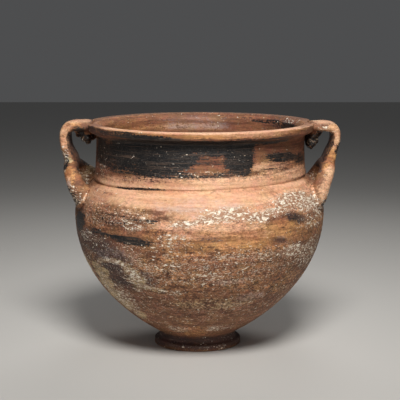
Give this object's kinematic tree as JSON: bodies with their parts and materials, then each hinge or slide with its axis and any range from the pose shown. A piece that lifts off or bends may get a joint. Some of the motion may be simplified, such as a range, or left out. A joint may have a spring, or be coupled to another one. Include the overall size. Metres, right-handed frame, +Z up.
{
  "type": "column krater",
  "caption": "Round fired-clay mixing bowl with wide mouth, straight neck, swelling shoulder, small ring foot and strap handles joined to loops on the shoulder.",
  "frame": {"origin": "middle of the bounding box on the surface that the pot stands on", "axes": "+Z up, +X from handle to handle towards the stouter handle, and the pictured side faces -Y"},
  "size_m": [0.421, 0.377, 0.3416],
  "materials": {
    "fired_clay": "matt orange clay with worn black gloss on the neck and pale earthy crust on the belly"
  },
  "bodies": {
    "root": {"column_krater": "fired_clay"}
  },
  "joints": []
}
